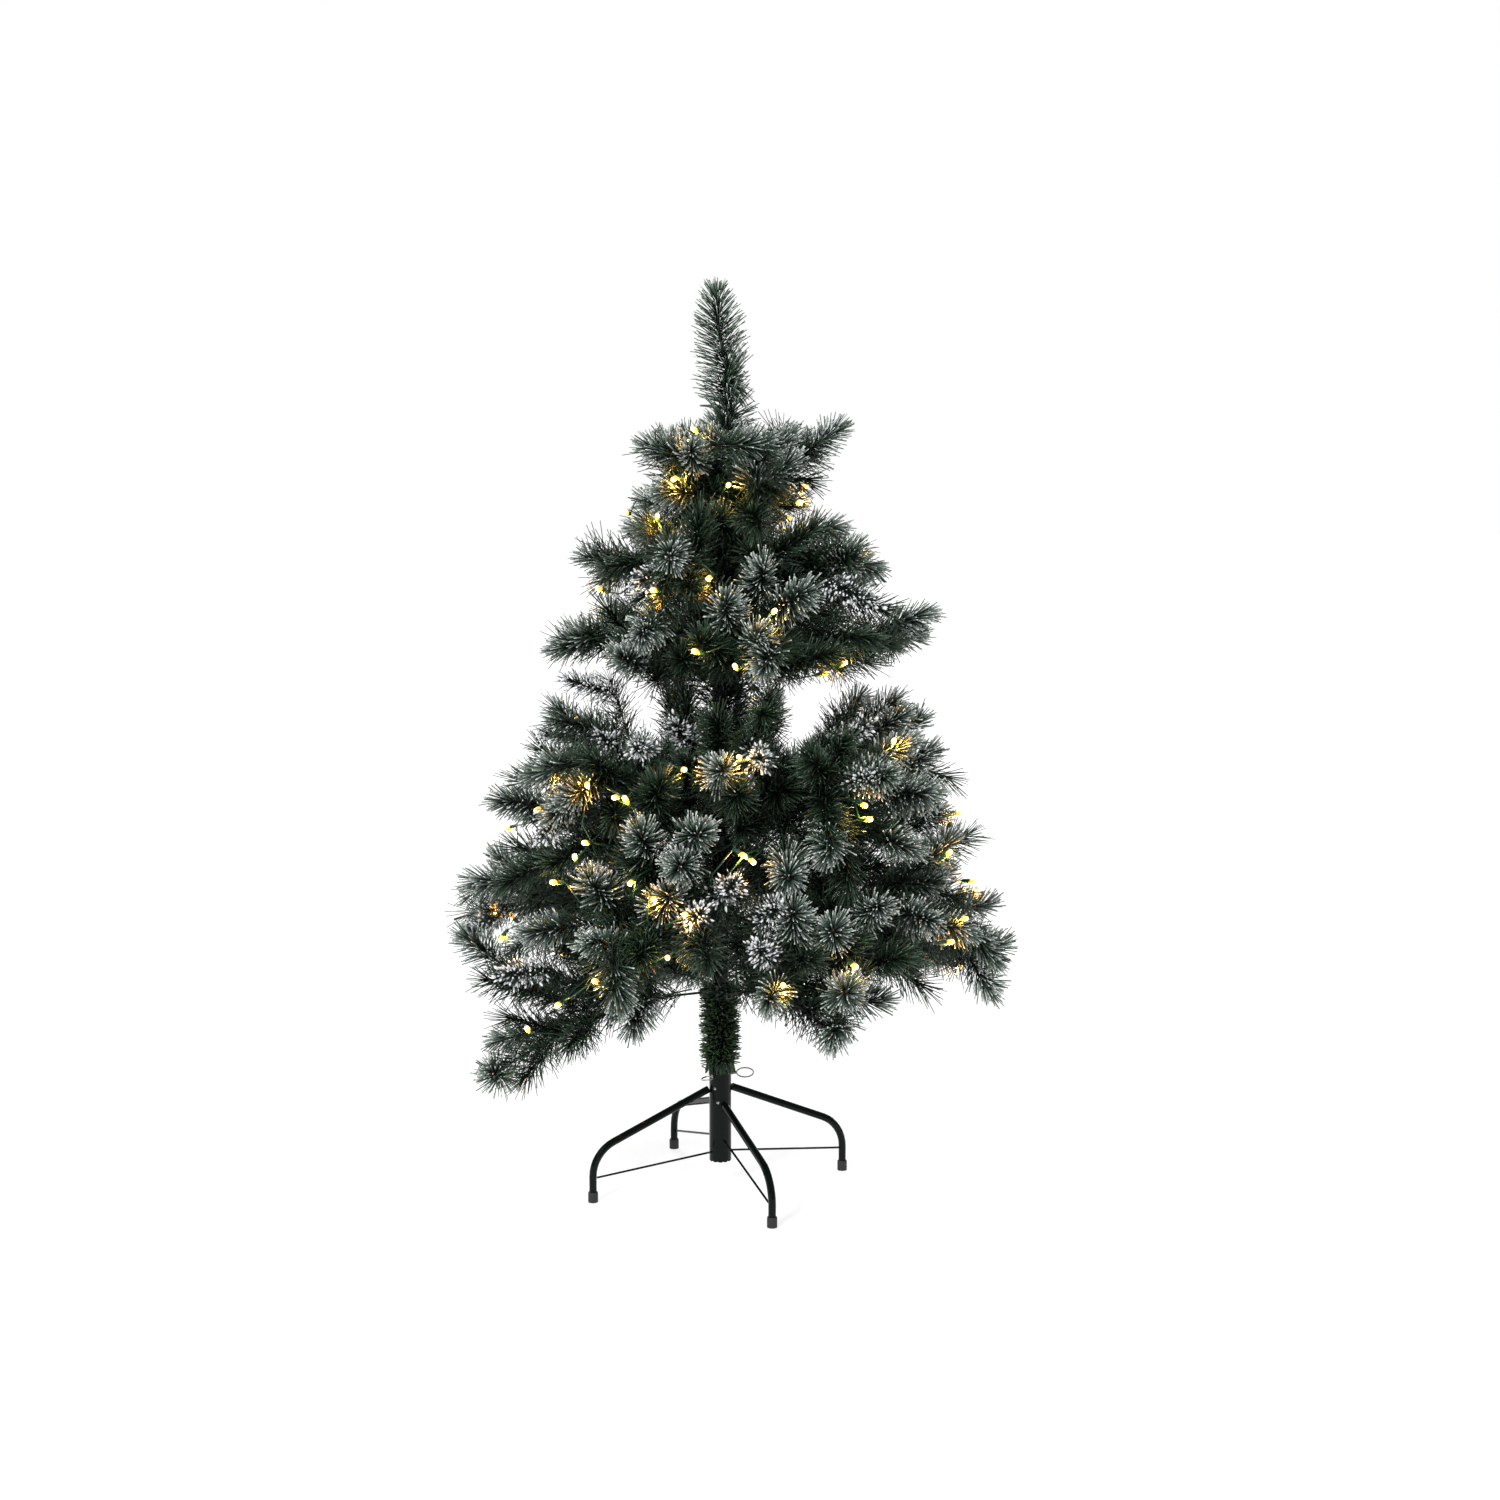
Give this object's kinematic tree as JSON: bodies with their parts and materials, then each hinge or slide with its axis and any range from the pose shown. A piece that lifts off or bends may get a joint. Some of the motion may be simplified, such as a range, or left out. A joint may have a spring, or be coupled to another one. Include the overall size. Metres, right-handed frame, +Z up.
{
  "type": "artificial tabletop tree",
  "caption": "Frosted artificial tree with hinged branches and warm lamps on a two-piece pole, held in a folding four-leg metal stand.",
  "frame": {"origin": "on the floor under the pole's axis", "axes": "+Z up along the pole, +X to the right, -Y to the front"},
  "size_m": [0.7384, 0.7384, 1.1884],
  "materials": {
    "stand_paint": "gloss dark green enamel",
    "foot_rubber": "matt",
    "zinc_wire": "bright zinc plate",
    "needles": "dark green film with frosted tips",
    "bracket_paint": "satin green enamel",
    "light_cable": "green cable sheath"
  },
  "bodies": {
    "stand": {"socket_tube": "stand_paint", "top_sleeve": "stand_paint", "bottom_sleeve": "stand_paint", "leg_left": "stand_paint", "leg_right": "stand_paint", "brace_left": "stand_paint", "brace_right": "stand_paint", "foot_left": "foot_rubber", "foot_right": "foot_rubber", "rivet_left": "zinc_wire", "rivet_right": "zinc_wire"},
    "swing_frame": {"swing_sleeve": "stand_paint", "leg_front": "stand_paint", "leg_back": "stand_paint", "brace_front": "stand_paint", "brace_back": "stand_paint", "foot_front": "foot_rubber", "foot_back": "foot_rubber", "rivet_front": "zinc_wire", "rivet_back": "zinc_wire"},
    "eye_screw_right": {"eye_screw_right": "zinc_wire"},
    "eye_screw_back": {"eye_screw_back": "zinc_wire"},
    "eye_screw_front": {"eye_screw_front": "zinc_wire"},
    "lower_trunk": {"lower_pole": "stand_paint", "trunk_garland": "needles", "lower_light_cable": "light_cable", "bottom_bracket": "bracket_paint", "wide_bracket": "bracket_paint", "shoulder_bracket": "bracket_paint"},
    "upper_trunk": {"upper_pole": "stand_paint", "leader": "needles", "upper_light_cable": "light_cable", "skirt_bracket": "bracket_paint", "middle_bracket": "bracket_paint", "crown_bracket": "bracket_paint"},
    "bottom_branch_1": {"bottom_branch_1": "needles"},
    "bottom_branch_2": {"bottom_branch_2": "needles"},
    "bottom_branch_3": {"bottom_branch_3": "needles"},
    "bottom_branch_4": {"bottom_branch_4": "needles"},
    "wide_branch_1": {"wide_branch_1": "needles"},
    "wide_branch_2": {"wide_branch_2": "needles"},
    "wide_branch_3": {"wide_branch_3": "needles"},
    "wide_branch_4": {"wide_branch_4": "needles"},
    "shoulder_branch_1": {"shoulder_branch_1": "needles"},
    "shoulder_branch_2": {"shoulder_branch_2": "needles"},
    "shoulder_branch_3": {"shoulder_branch_3": "needles"},
    "shoulder_branch_4": {"shoulder_branch_4": "needles"},
    "skirt_branch_1": {"skirt_branch_1": "needles"},
    "skirt_branch_2": {"skirt_branch_2": "needles"},
    "skirt_branch_3": {"skirt_branch_3": "needles"},
    "skirt_branch_4": {"skirt_branch_4": "needles"},
    "middle_branch_1": {"middle_branch_1": "needles"},
    "middle_branch_2": {"middle_branch_2": "needles"},
    "middle_branch_3": {"middle_branch_3": "needles"},
    "middle_branch_4": {"middle_branch_4": "needles"},
    "crown_branch_1": {"crown_branch_1": "needles"},
    "crown_branch_2": {"crown_branch_2": "needles"},
    "crown_branch_3": {"crown_branch_3": "needles"},
    "crown_branch_4": {"crown_branch_4": "needles"}
  },
  "joints": [
    {"name": "leg_frame_swing", "type": "hinge", "parent": "stand", "child": "swing_frame", "pos_m": [0, 0, 0.09], "axis": [0, 0, 1], "range_deg": [-80, 0]},
    {"name": "eye_screw_right_travel", "type": "slide", "parent": "stand", "child": "eye_screw_right", "axis": [1, 0, 0], "range_m": [0, 0.008]},
    {"name": "eye_screw_back_travel", "type": "slide", "parent": "stand", "child": "eye_screw_back", "axis": [-0.5, 0.866, 0], "range_m": [0, 0.008]},
    {"name": "eye_screw_front_travel", "type": "slide", "parent": "stand", "child": "eye_screw_front", "axis": [-0.5, -0.866, 0], "range_m": [0, 0.008]},
    {"name": "lower_trunk_lift", "type": "slide", "parent": "stand", "child": "lower_trunk", "axis": [0, 0, 1], "range_m": [0, 0.13]},
    {"name": "upper_trunk_lift", "type": "slide", "parent": "lower_trunk", "child": "upper_trunk", "axis": [0, 0, 1], "range_m": [0, 0.062]},
    {"name": "bottom_branch_1_hinge", "type": "hinge", "parent": "lower_trunk", "child": "bottom_branch_1", "pos_m": [0.02157, 0.01006, 0.268], "axis": [0.4226, -0.9063, 0], "range_deg": [0, 60]},
    {"name": "bottom_branch_2_hinge", "type": "hinge", "parent": "lower_trunk", "child": "bottom_branch_2", "pos_m": [-0.01006, 0.02157, 0.268], "axis": [0.9063, 0.4226, 0], "range_deg": [0, 60]},
    {"name": "bottom_branch_3_hinge", "type": "hinge", "parent": "lower_trunk", "child": "bottom_branch_3", "pos_m": [-0.02157, -0.01006, 0.268], "axis": [-0.4226, 0.9063, 0], "range_deg": [0, 60]},
    {"name": "bottom_branch_4_hinge", "type": "hinge", "parent": "lower_trunk", "child": "bottom_branch_4", "pos_m": [0.01006, -0.02157, 0.268], "axis": [-0.9063, -0.4226, 0], "range_deg": [0, 60]},
    {"name": "wide_branch_1_hinge", "type": "hinge", "parent": "lower_trunk", "child": "wide_branch_1", "pos_m": [0.02236, -0.00814, 0.368], "axis": [-0.342, -0.9397, 0], "range_deg": [0, 60]},
    {"name": "wide_branch_2_hinge", "type": "hinge", "parent": "lower_trunk", "child": "wide_branch_2", "pos_m": [0.00814, 0.02236, 0.368], "axis": [0.9397, -0.342, 0], "range_deg": [0, 60]},
    {"name": "wide_branch_3_hinge", "type": "hinge", "parent": "lower_trunk", "child": "wide_branch_3", "pos_m": [-0.02236, 0.00814, 0.368], "axis": [0.342, 0.9397, 0], "range_deg": [0, 60]},
    {"name": "wide_branch_4_hinge", "type": "hinge", "parent": "lower_trunk", "child": "wide_branch_4", "pos_m": [-0.00814, -0.02236, 0.368], "axis": [-0.9397, 0.342, 0], "range_deg": [0, 60]},
    {"name": "shoulder_branch_1_hinge", "type": "hinge", "parent": "lower_trunk", "child": "shoulder_branch_1", "pos_m": [0.01769, 0.01593, 0.468], "axis": [0.6691, -0.7431, 0], "range_deg": [0, 45]},
    {"name": "shoulder_branch_2_hinge", "type": "hinge", "parent": "lower_trunk", "child": "shoulder_branch_2", "pos_m": [-0.01593, 0.01769, 0.468], "axis": [0.7431, 0.6691, 0], "range_deg": [0, 45]},
    {"name": "shoulder_branch_3_hinge", "type": "hinge", "parent": "lower_trunk", "child": "shoulder_branch_3", "pos_m": [-0.01769, -0.01593, 0.468], "axis": [-0.6691, 0.7431, 0], "range_deg": [0, 45]},
    {"name": "shoulder_branch_4_hinge", "type": "hinge", "parent": "lower_trunk", "child": "shoulder_branch_4", "pos_m": [0.01593, -0.01769, 0.468], "axis": [-0.7431, -0.6691, 0], "range_deg": [0, 45]},
    {"name": "skirt_branch_1_hinge", "type": "hinge", "parent": "upper_trunk", "child": "skirt_branch_1", "pos_m": [0.02193, 0.00547, 0.69], "axis": [0.2419, -0.9703, 0], "range_deg": [0, 55]},
    {"name": "skirt_branch_2_hinge", "type": "hinge", "parent": "upper_trunk", "child": "skirt_branch_2", "pos_m": [-0.00547, 0.02193, 0.69], "axis": [0.9703, 0.2419, 0], "range_deg": [0, 55]},
    {"name": "skirt_branch_3_hinge", "type": "hinge", "parent": "upper_trunk", "child": "skirt_branch_3", "pos_m": [-0.02193, -0.00547, 0.69], "axis": [-0.2419, 0.9703, 0], "range_deg": [0, 55]},
    {"name": "skirt_branch_4_hinge", "type": "hinge", "parent": "upper_trunk", "child": "skirt_branch_4", "pos_m": [0.00547, -0.02193, 0.69], "axis": [-0.9703, -0.2419, 0], "range_deg": [0, 55]},
    {"name": "middle_branch_1_hinge", "type": "hinge", "parent": "upper_trunk", "child": "middle_branch_1", "pos_m": [0.02124, -0.00773, 0.785], "axis": [-0.342, -0.9397, 0], "range_deg": [0, 50]},
    {"name": "middle_branch_2_hinge", "type": "hinge", "parent": "upper_trunk", "child": "middle_branch_2", "pos_m": [0.00773, 0.02124, 0.785], "axis": [0.9397, -0.342, 0], "range_deg": [0, 50]},
    {"name": "middle_branch_3_hinge", "type": "hinge", "parent": "upper_trunk", "child": "middle_branch_3", "pos_m": [-0.02124, 0.00773, 0.785], "axis": [0.342, 0.9397, 0], "range_deg": [0, 50]},
    {"name": "middle_branch_4_hinge", "type": "hinge", "parent": "upper_trunk", "child": "middle_branch_4", "pos_m": [-0.00773, -0.02124, 0.785], "axis": [-0.9397, 0.342, 0], "range_deg": [0, 50]},
    {"name": "crown_branch_1_hinge", "type": "hinge", "parent": "upper_trunk", "child": "crown_branch_1", "pos_m": [0.02048, 0.00955, 0.885], "axis": [0.4226, -0.9063, 0], "range_deg": [0, 35]},
    {"name": "crown_branch_2_hinge", "type": "hinge", "parent": "upper_trunk", "child": "crown_branch_2", "pos_m": [-0.00955, 0.02048, 0.885], "axis": [0.9063, 0.4226, 0], "range_deg": [0, 35]},
    {"name": "crown_branch_3_hinge", "type": "hinge", "parent": "upper_trunk", "child": "crown_branch_3", "pos_m": [-0.02048, -0.00955, 0.885], "axis": [-0.4226, 0.9063, 0], "range_deg": [0, 35]},
    {"name": "crown_branch_4_hinge", "type": "hinge", "parent": "upper_trunk", "child": "crown_branch_4", "pos_m": [0.00955, -0.02048, 0.885], "axis": [-0.9063, -0.4226, 0], "range_deg": [0, 35]}
  ]
}
